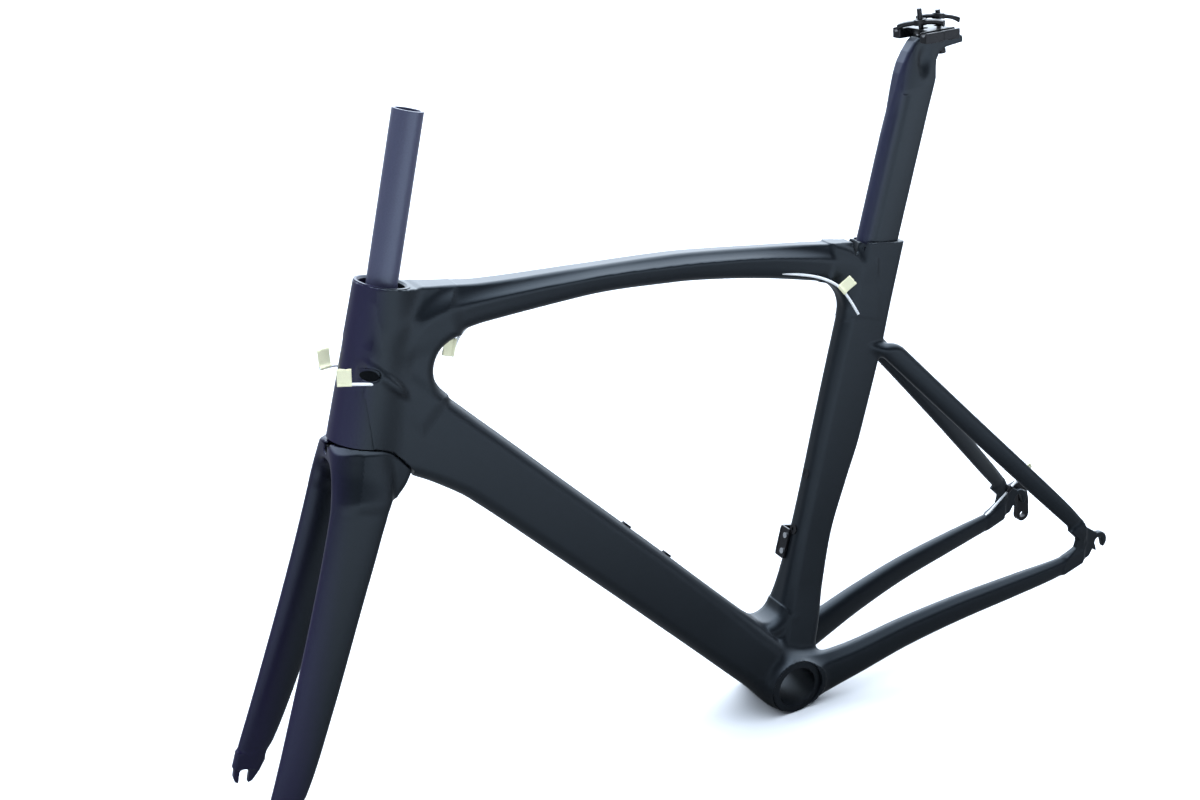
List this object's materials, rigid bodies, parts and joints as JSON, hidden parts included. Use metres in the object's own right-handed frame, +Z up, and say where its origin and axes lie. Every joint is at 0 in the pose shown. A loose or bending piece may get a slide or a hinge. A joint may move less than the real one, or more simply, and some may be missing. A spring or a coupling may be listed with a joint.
{
  "type": "bicycle frame",
  "caption": "Aero carbon road bicycle frame with fork, aero seatpost and two-bolt saddle clamp, internal cable liners and caliper-brake bores.",
  "frame": {"origin": "centre of the bottom-bracket bore, in the middle plane", "axes": "+X forward, +Y to the rider's left, +Z up, with the frame in riding position"},
  "size_m": [1.0155, 0.1545, 0.7283],
  "materials": {
    "carbon": "matte clear-coated carbon laminate",
    "black_alloy": "black anodised",
    "black_steel": "black oxide",
    "steel": "satin",
    "liner": "translucent white plastic tube",
    "tape": "cream paper masking tape"
  },
  "bodies": {
    "frame": {"head_tube": "carbon", "top_tube": "carbon", "down_tube": "carbon", "down_tube_flare": "carbon", "seat_tube": "carbon", "bb_shell": "carbon", "chainstay_left": "carbon", "chainstay_right": "carbon", "seatstay_left": "carbon", "seatstay_right": "carbon", "brake_bridge": "carbon", "rear_dropout_left": "carbon", "rear_dropout_right": "carbon", "derailleur_hanger": "black_alloy", "hanger_screws": "steel", "rear_cable_stop": "black_alloy", "front_derailleur_tab": "black_alloy", "front_derailleur_rivets": "steel", "down_tube_bosses": "black_alloy", "seat_tube_bosses": "black_alloy", "lower_bearing_outer": "steel", "lower_bearing_balls": "steel", "shift_liner_left": "liner", "shift_liner_right": "liner", "head_liner_end_left": "liner", "head_liner_end_right": "liner", "head_tape_left": "tape", "head_tape_right": "tape", "top_tube_liner": "liner", "top_front_liner_end": "liner", "top_rear_liner_end": "liner", "top_front_tape": "tape", "top_rear_tape": "tape", "chainstay_liner": "liner", "chainstay_liner_end": "liner", "chainstay_tape": "tape"},
    "fork": {"steerer": "carbon", "fork_crown": "carbon", "fork_blade_left": "carbon", "fork_blade_right": "carbon", "fork_tip_left": "carbon", "fork_tip_right": "carbon", "crown_race": "black_alloy", "lower_bearing_inner": "steel", "brake_sleeve": "black_alloy"},
    "wedge": {"seat_wedge": "black_alloy", "wedge_bolt": "black_steel"},
    "seatpost": {"seatpost": "carbon", "post_head": "carbon"},
    "cradle": {"saddle_cradle": "black_alloy", "front_clamp_bolt": "black_steel", "rear_clamp_bolt": "black_steel"},
    "front_yoke": {"front_yoke": "black_alloy"},
    "rear_yoke": {"rear_yoke": "black_alloy"}
  },
  "joints": [
    {"name": "steering", "type": "hinge", "parent": "frame", "child": "fork", "pos_m": [0.43478, 0, 0.40067], "axis": [-0.2857, 0, 0.9583], "range_deg": [-90, 90]},
    {"name": "seatpost_slide", "type": "slide", "parent": "frame", "child": "seatpost", "axis": [-0.2857, 0, 0.9583], "range_m": [-0.05, 0.03]},
    {"name": "wedge_slide", "type": "slide", "parent": "frame", "child": "wedge", "axis": [-0.2857, 0, 0.9583], "range_m": [-0.0025, 0]},
    {"name": "saddle_tilt", "type": "hinge", "parent": "seatpost", "child": "cradle", "pos_m": [-0.2105, 0, 0.684], "axis": [0, 1, 0], "range_deg": [-5, 5]},
    {"name": "front_yoke_turn", "type": "hinge", "parent": "cradle", "child": "front_yoke", "pos_m": [-0.1996, 0, 0.684], "axis": [0.137, 0, 0.9906], "range_deg": [-37, 15]},
    {"name": "rear_yoke_turn", "type": "hinge", "parent": "cradle", "child": "rear_yoke", "pos_m": [-0.2215, 0, 0.687], "axis": [-0.137, 0, 0.9906], "range_deg": [-72, 0]}
  ]
}
